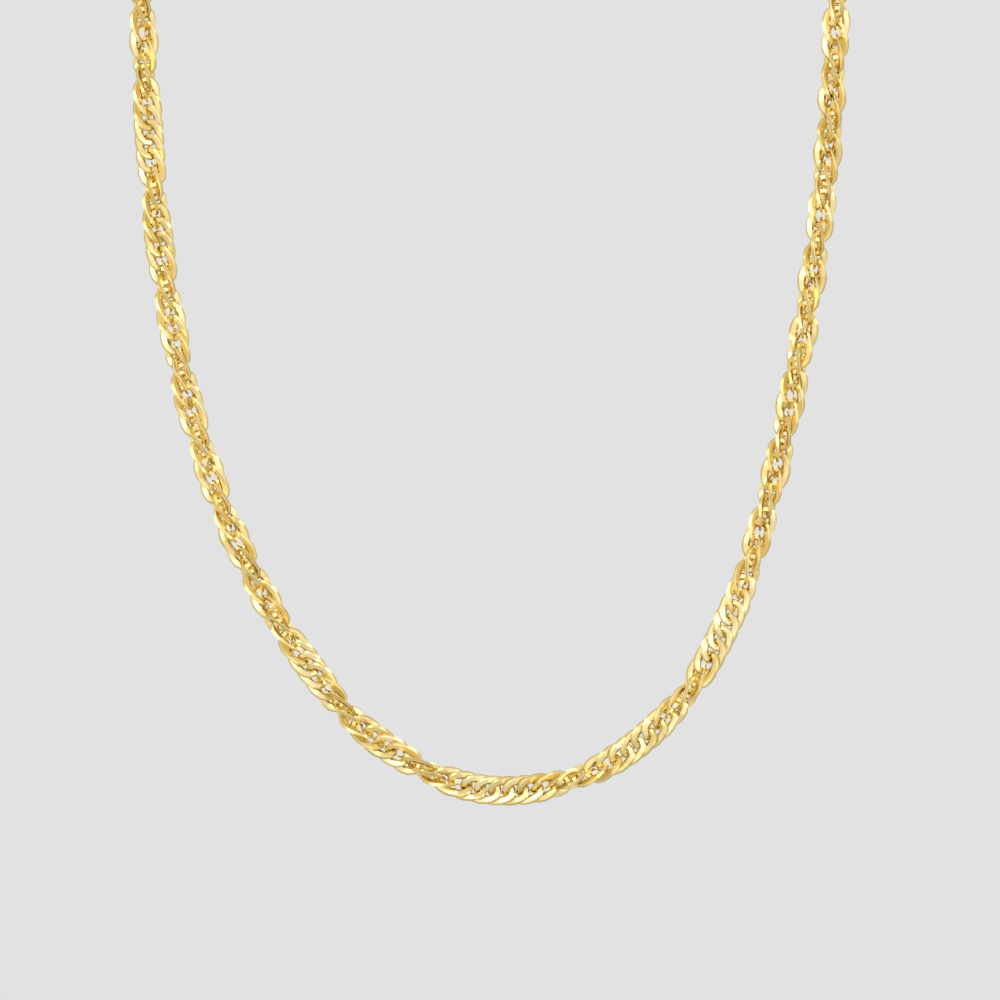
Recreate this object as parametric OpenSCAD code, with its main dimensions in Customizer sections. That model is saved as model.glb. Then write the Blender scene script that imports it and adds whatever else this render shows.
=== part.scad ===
// Singapore chain: a fine necklace of twisted curb links, closed by a bolt ring.
// The loop hangs in the XZ plane with +Z up. The origin is the inside of the loop
// at its top, where a neck or a peg carries it. Sizes are in millimetres.

/* [Chain] */
// Width of the twisted chain where it lies flat
chain_w = 2.4; // [1.8:0.1:2.6]
// Thickness of the wire that the links are made of
wire_d = 0.4; // [0.3:0.05:0.5]
// Outer diameter of the plain link at each end of the chain
end_link_d = 2.2; // [2:0.1:2.6]

/* [Clasp] */
// Outer diameter of the clasp
clasp_d = 6; // [5.5:0.5:7]
// Thickness of the clasp's tube
clasp_tube_d = 1.1; // [0.9:0.1:1.3]
// Outer diameter of the eye that is soldered to the clasp
eye_d = 2; // [1.9:0.1:2.4]
// Thickness of the eye's wire
eye_wire_d = 0.6; // [0.5:0.05:0.6]
// Length of the thumb knob that stands out of the clasp
knob_h = 0.7; // [0.5:0.1:1]
// Diameter of the thumb knob
knob_d = 0.7; // [0.5:0.1:0.9]

/* [Rings] */
// Outer diameter of the jump ring between the clasp and the chain
clasp_ring_d = 2.9; // [2.8:0.1:3.4]
// Thickness of that jump ring's wire
clasp_ring_wire_d = 0.5; // [0.4:0.05:0.5]
// Outer diameter of the ring that the clasp closes on
end_ring_d = 4; // [3.9:0.1:4.6]
// Thickness of that ring's wire
end_ring_wire_d = 0.6; // [0.5:0.05:0.6]
// Play between pieces that hook into each other
play = 0.15; // [0.1:0.01:0.15]

/* [Hidden] */
$fn = 48;

// Depth to which the eye and the knob are soldered into the clasp's tube
solder = 0.3;
// Direction of the thumb knob, turned up from +X
knob_angle = 135;

// Radii of the rings, taken at the middle of their wire
clasp_r = (clasp_d - clasp_tube_d) / 2;
eye_r = (eye_d - eye_wire_d) / 2;
clasp_ring_r = (clasp_ring_d - clasp_ring_wire_d) / 2;
end_ring_r = (end_ring_d - end_ring_wire_d) / 2;
end_link_r = (end_link_d - wire_d) / 2;

// Places along the clasp's line, from the clasp out to the chain's two ends
eye_x = -(clasp_d + eye_d) / 2 + solder;
clasp_ring_x = eye_x - eye_d / 2 + eye_wire_d + play + clasp_ring_wire_d / 2 - clasp_ring_r;
left_link_x = clasp_ring_x - clasp_ring_d / 2 + clasp_ring_wire_d + play + wire_d / 2 - end_link_r;
left_end_x = left_link_x - end_link_d / 2 - play;
end_ring_x = clasp_r - clasp_tube_d / 2 - play - end_ring_wire_d / 2 + end_ring_r;
right_link_x = end_ring_x + end_ring_r - end_ring_wire_d / 2 - play - wire_d / 2 + end_link_r;
right_end_x = right_link_x + end_link_d / 2 + play;

// Height of the clasp's line above the lowest point of the chain's centre line
top = 194.5;
// Height of the clasp's line above the origin, which is the underside of the clasp
line_z = clasp_d / 2;

// Centre line of the chain as [x, height above its lowest point], from the clasp's
// eye down the left side, round the bottom and up the right side
route = [
  [left_end_x, top], [-16, 192.4], [-23.4, 186], [-28.3, 176], [-30, 164], [-29.9, 138],
  [-29.4, 112], [-28.6, 86], [-27.6, 60], [-27, 50], [-25.8, 40], [-23.7, 30],
  [-20.2, 20], [-15.1, 11], [-8.7, 3.9], [0, 0.1], [8.5, 1.7], [15, 6.8],
  [19.3, 14], [22, 22], [23.9, 30], [25.7, 40], [27, 50], [27.7, 60],
  [28.7, 86], [29.5, 112], [29.9, 138], [30, 164], [28.3, 176], [23.4, 186],
  [15.7, 192.4], [right_end_x, top]
];
last = len(route) - 1;

// Sides of the chain's tube, and the longest step between its rings
tube_sides = 8;
ring_step = 3 * 2.25;

function unit(v) = v / norm(v);
function chord(i) = route[i + 1] - route[i];

// Direction of the centre line at a point: level at the two ends, and elsewhere
// the mean of the chords on both sides, the shorter one counting for more
function heading(i) =
  i == 0 || i == last ? [-1, 0] :
  unit(unit(chord(i - 1)) * norm(chord(i)) + unit(chord(i)) * norm(chord(i - 1)));

// Point of the smooth curve between route points i and i + 1, for t from 0 to 1
function curve(i, t) =
  let (reach = norm(chord(i)))
  (2 * t ^ 3 - 3 * t ^ 2 + 1) * route[i]
  + (t ^ 3 - 2 * t ^ 2 + t) * reach * heading(i)
  + (3 * t ^ 2 - 2 * t ^ 3) * route[i + 1]
  + (t ^ 3 - t ^ 2) * reach * heading(i + 1);

// Direction of the smooth curve at the same place
function slope(i, t) =
  let (reach = norm(chord(i)))
  unit(
    (6 * t ^ 2 - 6 * t) * (route[i] - route[i + 1])
    + (3 * t ^ 2 - 4 * t + 1) * reach * heading(i)
    + (3 * t ^ 2 - 2 * t) * reach * heading(i + 1)
  );

// Every ring of the tube as [centre, direction], evenly spaced between route points
stations = [
  for (i = [0:last - 1])
    let (steps = ceil(norm(chord(i)) / ring_step))
    for (k = [0:steps - 1])
      [curve(i, k / steps), slope(i, k / steps)],
  [route[last], heading(last)]
];

// Corner of a tube's ring: across is to the left of the direction in the loop's plane
function corner(station, angle) =
  let (
    centre = station[0],
    across = [-station[1][1], station[1][0]],
    flat = centre + across * chain_w / 2 * cos(angle)
  )
  [flat[0], chain_w / 2 * sin(angle), flat[1]];

// Closed tube with a flat end at each side, its rings given in order
module tube(stations, sides) {
  rings = len(stations);
  points = [
    for (station = stations)
      for (k = [0:sides - 1])
        corner(station, 360 * (k + 0.5) / sides)
  ];
  walls = [
    for (r = [0:rings - 2])
      for (k = [0:sides - 1])
        let (a = r * sides + k, b = r * sides + (k + 1) % sides)
        [a, b, b + sides, a + sides]
  ];
  first_cap = [for (k = [sides - 1:-1:0]) k];
  last_cap = [for (k = [0:sides - 1]) (rings - 1) * sides + k];
  polyhedron(points, concat(walls, [first_cap, last_cap]));
}

// Ring of round wire that lies in the XY plane
module wire_ring(r, wire) {
  rotate_extrude()
    translate([r, 0])
      circle(d = wire);
}

// Puts a ring on the clasp's line: upright stands in the loop's plane
module on_line(x, upright = false) {
  translate([x, 0, line_z])
    rotate([upright ? 90 : 0, 0, 0])
      children();
}

module chain() {
  color("gold")
    translate([0, 0, line_z - top])
      tube(stations, tube_sides);
}

module end_link(x) {
  color("gold")
    on_line(x, upright = true)
      wire_ring(end_link_r, wire_d);
}

module clasp() {
  color("goldenrod")
    union() {
      on_line(0, upright = true)
        wire_ring(clasp_r, clasp_tube_d);
      on_line(eye_x, upright = true)
        wire_ring(eye_r, eye_wire_d);
      translate([0, 0, line_z])
        rotate([0, -knob_angle, 0])
          translate([clasp_d / 2 - solder, 0, 0])
            rotate([0, 90, 0])
              cylinder(h = knob_h + solder, d = knob_d);
    }
}

module clasp_ring() {
  color("goldenrod")
    on_line(clasp_ring_x)
      wire_ring(clasp_ring_r, clasp_ring_wire_d);
}

module end_ring() {
  color("goldenrod")
    on_line(end_ring_x)
      wire_ring(end_ring_r, end_ring_wire_d);
}

chain();
end_link(left_link_x);  // end_link_left
end_link(right_link_x);  // end_link_right
clasp();
clasp_ring();
end_ring();
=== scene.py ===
import math
import random

import bpy
from mathutils import Matrix, Vector


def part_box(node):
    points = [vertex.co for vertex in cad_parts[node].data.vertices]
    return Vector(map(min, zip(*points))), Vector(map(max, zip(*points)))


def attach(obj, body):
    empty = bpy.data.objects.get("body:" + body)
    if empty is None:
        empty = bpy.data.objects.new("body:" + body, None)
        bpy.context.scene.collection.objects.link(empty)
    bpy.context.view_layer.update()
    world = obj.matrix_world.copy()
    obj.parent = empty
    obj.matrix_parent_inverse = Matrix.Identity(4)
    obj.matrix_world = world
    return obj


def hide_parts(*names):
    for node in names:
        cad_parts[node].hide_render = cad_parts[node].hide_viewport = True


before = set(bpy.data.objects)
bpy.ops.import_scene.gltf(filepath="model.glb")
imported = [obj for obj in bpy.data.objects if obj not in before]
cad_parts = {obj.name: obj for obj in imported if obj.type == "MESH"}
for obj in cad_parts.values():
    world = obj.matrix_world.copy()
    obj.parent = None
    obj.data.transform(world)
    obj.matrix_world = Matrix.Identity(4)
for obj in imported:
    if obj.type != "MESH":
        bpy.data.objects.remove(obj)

bl_info = {
    "name": "Singapore Chain",
    "version": (1, 0, 0),
    "blender": (4, 5, 0),
    "location": "View3D > Sidebar > Chain",
    "description": "Links the twisted chain of a necklace and finishes its closing",
    "category": "Object",
}

MM = 0.001

# The CAD pieces that close the necklace at the top
CLOSING = ("end_link_left", "end_link_right", "clasp", "clasp_ring", "end_ring")

# The two plain links that the chain hooks into, as lowest and highest corners
LEFT_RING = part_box("end_link_left")
RIGHT_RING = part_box("end_link_right")
RING_WIRE = 0.4 * MM

# Height of the closing's line, and how far it lies above the chain's lowest point
LINE_Z = (LEFT_RING[0][2] + LEFT_RING[1][2]) / 2
TOP = 194.5 * MM

# How far beyond the plain links the chain's centre line starts and ends
PLAY = 0.15 * MM
LEFT_END = LEFT_RING[0][0] - PLAY
RIGHT_END = RIGHT_RING[1][0] + PLAY

# Room between a plain link's wire and the wire of the chain's link that hooks into it
HOOK_GAP = 0.05 * MM

# Size of the wire at a link's ends against its size at the sides
END_SHARE = 0.76

# How full an oval link is at its ends and at its sides, where an ellipse has 1
END_FULLNESS = 1.15
SIDE_FULLNESS = 0.96

# Sides of the wire's section, and steps of the wire along each quarter of a link
WIRE_SIDES = 6
WIRE_STEPS = 4

# Points of a link that are closer than this become one
MERGE_BELOW = 0.001 * MM

# Corners of the wire that are flatter than this are shaded smooth
SMOOTH_BELOW = math.radians(35)

# Centre line of the chain in millimetres, as x and height above the lowest point,
# down the left strand, round the bottom and up the right strand
ROUTE_MM = (
    (-16, 192.4), (-23.4, 186), (-28.3, 176), (-30, 164), (-29.9, 138),
    (-29.4, 112), (-28.6, 86), (-27.6, 60), (-27, 50), (-25.8, 40), (-23.7, 30),
    (-20.2, 20), (-15.1, 11), (-8.7, 3.9), (0, 0.1), (8.5, 1.7), (15, 6.8),
    (19.3, 14), (22, 22), (23.9, 30), (25.7, 40), (27, 50), (27.7, 60),
    (28.7, 86), (29.5, 112), (29.9, 138), (30, 164), (28.3, 176), (23.4, 186),
    (15.7, 192.4),
)

# Steps in which the centre line is walked between two of those places
STEPS_BETWEEN = 200

# Places where the twisted ribbon stands edge on to the viewer, in millimetres along
# the centre line. Above them on both strands the twist goes on at its usual rate.
EDGE_ON_MM = (
    148.5, 158, 166, 172.5, 178.5, 184, 189.5, 194.5, 203, 211, 223.5,
    235, 246.5, 251.5, 257, 263, 267.5, 272.5, 277.5, 282.5, 287, 292,
)
USUAL_HALF_TURN = 5.13 * MM

# Seed of the links' unevenness and tones
SEED = 7

# Range of roughness of the chain's flattened wire and of the closing's round wire
CHAIN_ROUGHNESS = (0.12, 0.24)
CLOSING_ROUGHNESS = (0.1, 0.2)

# Rubbing marks are finer than the render shows, so they are drawn this wide
MARK_WIDTH = 0.2 * MM

# Deepest and palest link against the gold's colour
DEEP_TONE = (0.82, 0.79, 0.6)
PALE_TONE = (1.08, 1.08, 1.1)

# Tint that keeps gold yellow where it is seen edge on
EDGE_ON_GOLD = "FFF4D0"

# Painted shade: darker gold in the crevices along the wire's edges, the range over
# which a link's faces darken into that painted shade, and how much of it the outer edge
# gets, where the inner edge has 1
CREVICE_SHADE_GOLD = "C6B06A"
CREVICE_SHADE_RANGE = {"From Min": 0.1, "From Max": 0.8}
OUTER_CREVICE_SHADE = 0.8

# Sockets of a Mix node that mixes colours
COLOUR_A, COLOUR_B, COLOUR_RESULT = 6, 7, 2

# Roughness of matt paper
PAPER_ROUGHNESS = 0.9

# Strength of the air's light from the sides and from in front or behind, how narrow
# the latter is, and the strength with which the air itself is seen
GLOW_RANGE = {"To Min": 1.2, "To Max": 1.9}
GLOW_NARROWNESS = 4
BACKDROP = 0.98

# Soft lights: name, place from the chain's middle and side in metres, power in watts
SOFT_LIGHTS = (
    ("key", (-0.35, -0.6, 0.4), 0.5, 1.2),
    ("fill", (0.6, -0.45, 0.1), 0.4, 0.8),
    ("rim", (0.2, 0.6, 0.5), 0.4, 0.8),
)

# The photograph's frame, seen level from in front: its width, its middle as x and z,
# and how far before it the camera stands, in metres
FRAME_WIDTH = 80 * MM
FRAME_MIDDLE = (0.88 * MM, -168.2 * MM)
CAMERA_DISTANCE = 1.0


def linear(hex_colour):
    """Turns an sRGB hex colour to linear RGB."""
    parts = [int(hex_colour[i:i + 2], 16) / 255 for i in (0, 2, 4)]
    return tuple(
        c / 12.92 if c <= 0.04045 else ((c + 0.055) / 1.055) ** 2.4 for c in parts
    )


def length_of(name, description, default):
    """A length that a user may change."""
    return bpy.props.FloatProperty(
        name=name, description=description, default=default,
        min=0, unit="LENGTH", subtype="DISTANCE", precision=6,
    )


def colour_of(name, description, hex_colour):
    """A colour that a user may change."""
    return bpy.props.FloatVectorProperty(
        name=name, description=description, default=linear(hex_colour),
        size=3, min=0, max=1, subtype="COLOR",
    )


class ChainSettings(bpy.types.PropertyGroup):
    pitch: length_of("Pitch", "Length of chain that each link adds", 1.127 * MM)
    link_length: length_of("Link length", "Outer length of a link", 3.4 * MM)
    link_width: length_of("Link width", "Outer width of a link", 2.4 * MM)
    wire_width: length_of("Wire width", "Width of the flattened wire", 0.72 * MM)
    wire_thickness: length_of(
        "Wire thickness", "Thickness of the flattened wire", 0.29 * MM
    )
    link_twist: bpy.props.FloatProperty(
        name="Link twist", description="Turn of a link between its two ends",
        default=math.radians(-65), unit="ROTATION", subtype="ANGLE",
    )
    ease: bpy.props.FloatProperty(
        name="Ease", description="How much of the turn a long flat stretch gives up",
        default=0.9, min=0, max=1, subtype="FACTOR",
    )
    unevenness: bpy.props.FloatProperty(
        name="Unevenness", description="How far a link may lie turned from its place",
        default=math.radians(8), unit="ROTATION", subtype="ANGLE",
    )
    gold: colour_of("Gold", "Colour of the polished gold", "FAE4AE")


class ClosingSettings(bpy.types.PropertyGroup):
    gold: colour_of("Gold", "Colour of the polished gold", "E4C688")


class StageSettings(bpy.types.PropertyGroup):
    drop: length_of(
        "Drop", "Height of the chain's lowest point above the floor", 250 * MM
    )
    floor_size: length_of("Floor size", "Side of the square floor", 900 * MM)
    floor_colour: colour_of("Floor colour", "Colour of the floor", "D6D6D6")
    air_colour: colour_of("Backdrop colour", "Colour of the light all round", "E4E4E4")


def add_node(tree, kind, links=None, **settings):
    """Adds a node, sets its attributes and inputs, and links its inputs."""
    node = tree.nodes.new(kind)
    for key, value in settings.items():
        if key in node.inputs:
            node.inputs[key].default_value = value
        else:
            setattr(node, key, value)
    for key, output in (links or {}).items():
        tree.links.new(output, node.inputs[key])
    return node


def polished_gold(name, colour, roughness, uneven):
    """Yellow gold drawn to wire and tumbled bright: a warm mirror that fine rubbing
    marks soften a little. Where links differ, each has its own slight tone and painted
    shade along the wire's edges."""
    material = bpy.data.materials.new(name)
    material.use_nodes = True
    tree = material.node_tree
    tree.nodes.clear()
    output = add_node(tree, "ShaderNodeOutputMaterial")
    shader = add_node(tree, "ShaderNodeBsdfPrincipled", Metallic=1.0)
    shader.inputs["Specular Tint"].default_value = (*linear(EDGE_ON_GOLD), 1)
    tree.links.new(shader.outputs["BSDF"], output.inputs["Surface"])
    where = add_node(tree, "ShaderNodeTexCoord")
    marks = add_node(
        tree, "ShaderNodeTexNoise", {"Vector": where.outputs["Object"]},
        Scale=1 / MARK_WIDTH, Detail=2.0,
    )
    low, high = roughness
    rub = add_node(
        tree, "ShaderNodeMapRange", {"Value": marks.outputs["Fac"]},
        **{"To Min": low, "To Max": high},
    )
    tree.links.new(rub.outputs["Result"], shader.inputs["Roughness"])
    if uneven:
        tone = add_node(tree, "ShaderNodeAttribute", attribute_name="tone")
        blend = add_node(
            tree, "ShaderNodeMix", {"Factor": tone.outputs["Fac"]}, data_type="RGBA"
        )
        deep = [c * f for c, f in zip(colour, DEEP_TONE)]
        pale = [min(1, c * f) for c, f in zip(colour, PALE_TONE)]
        blend.inputs[COLOUR_A].default_value = (*deep, 1)
        blend.inputs[COLOUR_B].default_value = (*pale, 1)
        # Painted shade: the gold is darkened along the wire's edges, in the crevices
        # where shade falls between the links
        edge = add_node(tree, "ShaderNodeAttribute", attribute_name="edge")
        depth = add_node(
            tree, "ShaderNodeMapRange", {"Value": edge.outputs["Fac"]},
            **CREVICE_SHADE_RANGE,
        )
        crevice_shade_mix = add_node(
            tree, "ShaderNodeMix", {"Factor": depth.outputs["Result"]},
            data_type="RGBA",
        )
        tree.links.new(blend.outputs[COLOUR_RESULT], crevice_shade_mix.inputs[COLOUR_A])
        crevice_shade_mix.inputs[COLOUR_B].default_value = (*linear(CREVICE_SHADE_GOLD), 1)
        tree.links.new(crevice_shade_mix.outputs[COLOUR_RESULT], shader.inputs["Base Color"])
    else:
        shader.inputs["Base Color"].default_value = (*colour, 1)
    return material


def deselect():
    """Deselects every object, because operators act on all that is selected."""
    bpy.ops.object.select_all(action="DESELECT")


def curb_link(settings):
    """One link round the origin: an oval along X of flattened wire, twisted about X."""
    width, thickness = settings.wire_width, settings.wire_thickness
    half_width = (settings.link_width - width) / 2
    half_length = (settings.link_length - width * END_SHARE) / 2

    # The wire's section: six-sided, with a level face in front and behind
    deselect()
    bpy.ops.mesh.primitive_circle_add(vertices=WIRE_SIDES, radius=width / 2)
    section = bpy.context.active_object
    bpy.ops.object.mode_set(mode="EDIT")
    bpy.ops.mesh.select_all(action="SELECT")
    bpy.ops.transform.rotate(
        value=math.pi / 2, orient_axis="Z", center_override=(0, 0, 0)
    )
    flatness = thickness / width / math.cos(math.pi / WIRE_SIDES)
    bpy.ops.transform.resize(value=(1, flatness, 1))
    bpy.ops.object.mode_set(mode="OBJECT")
    bpy.ops.object.convert(target="CURVE")
    section = bpy.context.active_object

    deselect()
    bpy.ops.curve.primitive_bezier_circle_add(radius=half_width)
    link = bpy.context.active_object
    bpy.ops.object.mode_set(mode="EDIT")
    bpy.ops.curve.select_all(action="SELECT")
    bpy.ops.transform.resize(value=(half_length / half_width, 1, 1))
    bpy.ops.object.mode_set(mode="OBJECT")
    for point in link.data.splines[0].bezier_points:
        at_end = abs(point.co.x) > abs(point.co.y)
        point.radius = END_SHARE if at_end else 1
        pull = END_FULLNESS if at_end else SIDE_FULLNESS
        point.handle_left_type = point.handle_right_type = "FREE"
        point.handle_left = point.co + (point.handle_left - point.co) * pull
        point.handle_right = point.co + (point.handle_right - point.co) * pull
    link.data.resolution_u = WIRE_STEPS
    link.data.bevel_mode = "OBJECT"
    link.data.bevel_object = section
    bpy.ops.object.convert(target="MESH")
    link = bpy.context.active_object
    bpy.data.objects.remove(section)
    bpy.ops.object.mode_set(mode="EDIT")
    bpy.ops.mesh.select_all(action="SELECT")
    bpy.ops.mesh.remove_doubles(threshold=MERGE_BELOW)
    bpy.ops.mesh.normals_make_consistent(inside=False)
    bpy.ops.object.mode_set(mode="OBJECT")

    # How far each point is from the wire's level faces, which sets how much painted
    # shade it
    # gets: the inner edge reaches 1, and the outer one less
    edge = link.data.attributes.new("edge", "FLOAT", "POINT")
    for vertex, value in zip(link.data.vertices, edge.data):
        x, y, z = vertex.co
        outside = math.hypot(x / half_length, y / half_width) > 1
        share = OUTER_CREVICE_SHADE if outside else 1
        value.value = (1 - abs(z) / (thickness / 2)) * share

    twist = link.modifiers.new("twist", "SIMPLE_DEFORM")
    twist.deform_method = "TWIST"
    twist.deform_axis = "X"
    twist.angle = settings.link_twist
    bpy.ops.object.modifier_apply(modifier=twist.name)
    bpy.ops.object.shade_smooth_by_angle(angle=SMOOTH_BELOW)
    return link


def centre_line():
    """Points along the chain's centre line, close together, in the plane of the loop.
    Each stretch between two route points is a smooth cubic."""
    points = [Vector((LEFT_END, TOP))]
    points += [Vector(p) * MM for p in ROUTE_MM]
    points += [Vector((RIGHT_END, TOP))]
    chords = [b - a for a, b in zip(points, points[1:])]
    headings = [Vector((-1, 0))]
    for before, after in zip(chords, chords[1:]):
        mean = before.normalized() * after.length + after.normalized() * before.length
        headings.append(mean.normalized())
    headings.append(Vector((-1, 0)))
    line = []
    for i, chord in enumerate(chords):
        reach = chord.length
        start, end = headings[i] * reach, headings[i + 1] * reach
        for k in range(STEPS_BETWEEN):
            t = k / STEPS_BETWEEN
            line.append(
                (2 * t**3 - 3 * t**2 + 1) * points[i] + (t**3 - 2 * t**2 + t) * start
                + (3 * t**2 - 2 * t**3) * points[i + 1] + (t**3 - t**2) * end
            )
    line.append(points[-1])
    return line


def along(line):
    """Distance of each point of a line from its start."""
    places = [0.0]
    for a, b in zip(line, line[1:]):
        places.append(places[-1] + (b - a).length)
    return places


def edge_on_places(length):
    """Every place where the ribbon stands edge on, over the whole centre line."""
    seen = [place * MM for place in EDGE_ON_MM]
    before = round(seen[0] / USUAL_HALF_TURN)
    after = round((length - seen[-1]) / USUAL_HALF_TURN)
    first = [seen[0] * k / before for k in range(before)]
    rest = [seen[-1] + (length - seen[-1]) * k / after for k in range(1, after + 1)]
    return first + seen + rest


def ribbon_angle(place, edges, ease):
    """Turn of the ribbon about the centre line: half turns where it lies flat on."""
    for i, (a, b) in enumerate(zip(edges, edges[1:])):
        if place <= b or i == len(edges) - 2:
            part = (place - a) / (b - a)
            # A half turn of twice the usual length turns mostly near its two ends,
            # and with all its ease it stands still in the middle
            slack = min(1, max(0, (b - a) / USUAL_HALF_TURN - 1))
            lag = math.sin(2 * math.pi * part) + math.sin(4 * math.pi * part) / 8
            return math.pi * (i + 0.5 + part) + ease * slack * lag * 2 / 3


def link_places(settings):
    """Matrix of each link, from the closing's left end round to its right end."""
    line = centre_line()
    places = along(line)
    edges = edge_on_places(places[-1])
    # The wire of the first and of the last link runs through the plain link's hole
    hook = PLAY + RING_WIRE + HOOK_GAP + settings.wire_width * END_SHARE
    start = settings.link_length / 2 - hook
    run = places[-1] - 2 * start
    count = round(run / settings.pitch) + 1
    matrices = []
    k = 0
    for n in range(count):
        place = start + run * n / (count - 1)
        while places[k + 1] < place:
            k += 1
        mix = (place - places[k]) / (places[k + 1] - places[k])
        centre = line[k].lerp(line[k + 1], mix)
        ahead = (line[k + 1] - line[k]).normalized()
        forward = Vector((ahead.x, 0, ahead.y))
        across = Vector((-ahead.y, 0, ahead.x))
        outward = forward.cross(across)
        turn = Matrix((forward, across, outward)).transposed().to_4x4()
        spot = Matrix.Translation((centre.x, 0, centre.y + LINE_Z - TOP))
        angle = ribbon_angle(place, edges, settings.ease)
        matrices.append(spot @ turn @ Matrix.Rotation(angle, 4, "X"))
    return matrices


class CHAIN_OT_links(bpy.types.Operator):
    """Models one curb link and hooks copies of it along the whole chain"""

    bl_idname = "object.chain_links"
    bl_label = "Chain Links"

    def execute(self, context):
        settings = context.scene.singapore_chain
        link = curb_link(settings)
        gold = polished_gold(
            "chain_14ct_gold_cut_and_polished", settings.gold, CHAIN_ROUGHNESS, True
        )
        link.data.materials.append(gold)
        link.data.attributes.new("tone", "FLOAT", "POINT")
        dice = random.Random(SEED)
        sway = settings.unevenness
        copies = []
        for matrix in link_places(settings):
            lean = Matrix.Rotation(dice.uniform(-sway, sway), 4, "X")
            nod = Matrix.Rotation(dice.uniform(-sway, sway) / 2, 4, "Y")
            piece = link.copy()
            piece.data = link.data.copy()
            piece.data.transform(matrix @ lean @ nod)
            tone = dice.random()
            for value in piece.data.attributes["tone"].data:
                value.value = tone
            context.scene.collection.objects.link(piece)
            copies.append(piece)
        bpy.data.objects.remove(link)
        deselect()
        for piece in copies:
            piece.select_set(True)
        context.view_layer.objects.active = copies[0]
        bpy.ops.object.join()
        chain = context.active_object
        chain.name = "chain_links"
        chain.data.name = "chain_links"
        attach(chain, "root")
        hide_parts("chain")
        return {"FINISHED"}


class CHAIN_OT_closing(bpy.types.Operator):
    """Gives the clasp, its rings and the plain end links their polished gold"""

    bl_idname = "object.chain_closing"
    bl_label = "Closing"

    def execute(self, context):
        settings = context.scene.chain_closing
        gold = polished_gold(
            "closing_14ct_gold_polished", settings.gold, CLOSING_ROUGHNESS, False
        )
        for name in CLOSING:
            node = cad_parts[name]
            node.data.materials.clear()
            node.data.materials.append(gold)
        return {"FINISHED"}


def soft_light(name, place, target, size, power):
    """Adds a square area light that shines on the target."""
    light = bpy.data.lights.new(name, "AREA")
    light.shape = "SQUARE"
    light.size = size
    light.energy = power
    lamp = bpy.data.objects.new(name, light)
    lamp.location = place
    lamp.rotation_euler = (target - place).to_track_quat("-Z", "Y").to_euler()
    bpy.context.scene.collection.objects.link(lamp)


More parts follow.
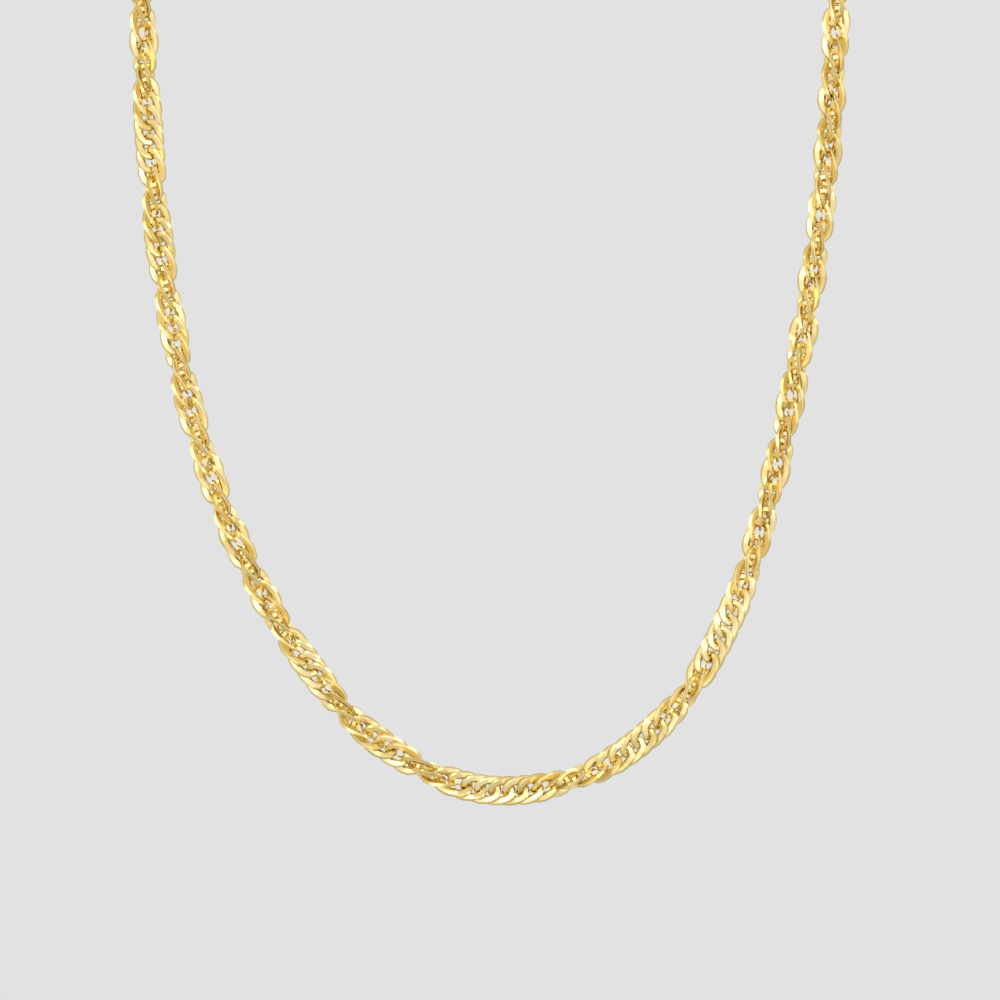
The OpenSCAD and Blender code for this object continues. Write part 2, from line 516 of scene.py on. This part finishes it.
class CHAIN_OT_stage(bpy.types.Operator):
    """Adds the floor, the light and the camera"""

    bl_idname = "object.chain_stage"
    bl_label = "Stage"

    def execute(self, context):
        settings = context.scene.chain_stage
        low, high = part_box("chain")
        middle = Vector((0, 0, (low[2] + high[2]) / 2))
        deselect()
        bpy.ops.mesh.primitive_plane_add(
            size=settings.floor_size, location=(0, 0, low[2] - settings.drop)
        )
        floor = context.active_object
        floor.name = "floor"
        bpy.ops.object.transform_apply(location=True, rotation=True, scale=True)
        # Matt paper: an even pale ground without shine
        paper = bpy.data.materials.new("floor_matt_paper")
        paper.use_nodes = True
        shader = paper.node_tree.nodes["Principled BSDF"]
        shader.inputs["Base Color"].default_value = (*settings.floor_colour, 1)
        shader.inputs["Roughness"].default_value = PAPER_ROUGHNESS
        floor.data.materials.append(paper)

        world = bpy.data.worlds.new("air")
        context.scene.world = world
        world.use_nodes = True
        # The backdrop is evenly pale, while more of the light that falls on the chain
        # comes from before and behind it than from its sides
        tree = world.node_tree
        where = add_node(tree, "ShaderNodeTexCoord")
        parts = add_node(
            tree, "ShaderNodeSeparateXYZ", {"Vector": where.outputs["Generated"]}
        )
        depth = add_node(
            tree, "ShaderNodeMath", {0: parts.outputs["Y"]}, operation="ABSOLUTE"
        )
        front = add_node(
            tree, "ShaderNodeMath", {0: depth.outputs["Value"]}, operation="POWER"
        )
        front.inputs[1].default_value = GLOW_NARROWNESS
        glow = add_node(
            tree, "ShaderNodeMapRange", {"Value": front.outputs["Value"]},
            **GLOW_RANGE,
        )
        seen = add_node(tree, "ShaderNodeLightPath")
        strength = add_node(
            tree, "ShaderNodeMix",
            {"Factor": seen.outputs["Is Camera Ray"], "A": glow.outputs["Result"]},
            B=BACKDROP,
        )
        air = tree.nodes["Background"]
        air.inputs["Color"].default_value = (*settings.air_colour, 1)
        tree.links.new(strength.outputs["Result"], air.inputs["Strength"])

        for name, offset, size, power in SOFT_LIGHTS:
            soft_light(name, middle + Vector(offset), middle, size, power)

        camera = bpy.data.cameras.new("camera")
        camera.lens = camera.sensor_width * CAMERA_DISTANCE / FRAME_WIDTH
        eye = bpy.data.objects.new("camera", camera)
        eye.location = (FRAME_MIDDLE[0], -CAMERA_DISTANCE, FRAME_MIDDLE[1])
        eye.rotation_euler = (math.pi / 2, 0, 0)
        context.scene.collection.objects.link(eye)
        context.scene.camera = eye
        # Colours are shown as they are lit, so that bright gold stays yellow
        context.scene.view_settings.view_transform = "Standard"
        return {"FINISHED"}


class CHAIN_PT_panel(bpy.types.Panel):
    bl_idname = "CHAIN_PT_panel"
    bl_label = "Singapore Chain"
    bl_space_type = "VIEW_3D"
    bl_region_type = "UI"
    bl_category = "Chain"

    def draw(self, context):
        scene = context.scene
        for settings, operator in (
            (scene.singapore_chain, CHAIN_OT_links),
            (scene.chain_closing, CHAIN_OT_closing),
            (scene.chain_stage, CHAIN_OT_stage),
        ):
            box = self.layout.box()
            for key in settings.__annotations__:
                box.prop(settings, key)
            box.operator(operator.bl_idname)


CLASSES = (
    ChainSettings,
    ClosingSettings,
    StageSettings,
    CHAIN_OT_links,
    CHAIN_OT_closing,
    CHAIN_OT_stage,
    CHAIN_PT_panel,
)


def register():
    for cls in CLASSES:
        bpy.utils.register_class(cls)
    scene = bpy.types.Scene
    scene.singapore_chain = bpy.props.PointerProperty(type=ChainSettings)
    scene.chain_closing = bpy.props.PointerProperty(type=ClosingSettings)
    scene.chain_stage = bpy.props.PointerProperty(type=StageSettings)


def unregister():
    scene = bpy.types.Scene
    del scene.chain_stage, scene.chain_closing, scene.singapore_chain
    for cls in reversed(CLASSES):
        bpy.utils.unregister_class(cls)


def main():
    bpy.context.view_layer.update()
    register()
    bpy.ops.object.chain_links()
    bpy.ops.object.chain_closing()
    bpy.ops.object.chain_stage()


if __name__ == "__main__":
    main()
